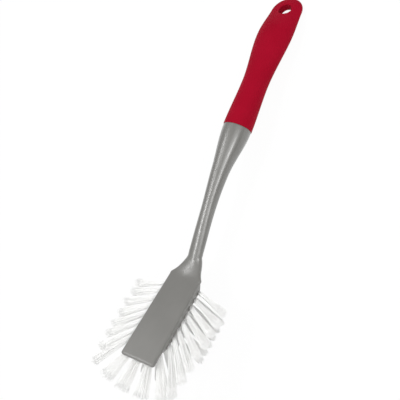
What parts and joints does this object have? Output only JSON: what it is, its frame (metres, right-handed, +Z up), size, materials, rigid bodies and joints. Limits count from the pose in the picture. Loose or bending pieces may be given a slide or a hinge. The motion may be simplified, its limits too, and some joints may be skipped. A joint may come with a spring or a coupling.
{
  "type": "dish brush",
  "caption": "Dish brush: a flat-backed head with tufts fanning to both sides and past the tip, a slim rising shaft and a soft waisted grip with a hang hole.",
  "frame": {"origin": "on the table, under the middle of the brush's box as it lies at rest", "axes": "+X from the head's tip to the handle's end, +Y across the head, +Z up from the table; the brush rests on its lowest tufts and on the underside of the grip"},
  "size_m": [0.3146, 0.0812, 0.0568],
  "materials": {
    "body_plastic": "satin moulded grey polypropylene",
    "soft_grip": "matte red thermoplastic rubber",
    "bristle": "white nylon filament",
    "anchor_wire": "flat wire"
  },
  "bodies": {
    "root": {"front_tuft_1": "bristle", "front_tuft_2": "bristle", "front_tuft_3": "bristle", "grip_sleeve": "soft_grip", "handle_body": "body_plastic", "middle_tuft_1": "bristle", "middle_tuft_2": "bristle", "middle_tuft_3": "bristle", "middle_tuft_4": "bristle", "middle_tuft_5": "bristle", "middle_tuft_6": "bristle", "side_tuft_left_1": "bristle", "side_tuft_left_2": "bristle", "side_tuft_left_3": "bristle", "side_tuft_left_4": "bristle", "side_tuft_left_5": "bristle", "side_tuft_left_6": "bristle", "side_tuft_left_7": "bristle", "side_tuft_left_8": "bristle", "side_tuft_right_1": "bristle", "side_tuft_right_2": "bristle", "side_tuft_right_3": "bristle", "side_tuft_right_4": "bristle", "side_tuft_right_5": "bristle", "side_tuft_right_6": "bristle", "side_tuft_right_7": "bristle", "side_tuft_right_8": "bristle", "tip_tuft_1": "bristle", "tip_tuft_2": "bristle", "tip_tuft_3": "bristle", "tip_tuft_4": "bristle", "tuft_anchors": "anchor_wire", "under_tuft_left_1": "bristle", "under_tuft_left_2": "bristle", "under_tuft_left_3": "bristle", "under_tuft_left_4": "bristle", "under_tuft_left_5": "bristle", "under_tuft_left_6": "bristle", "under_tuft_right_1": "bristle", "under_tuft_right_2": "bristle", "under_tuft_right_3": "bristle", "under_tuft_right_4": "bristle", "under_tuft_right_5": "bristle", "under_tuft_right_6": "bristle"}
  },
  "joints": []
}
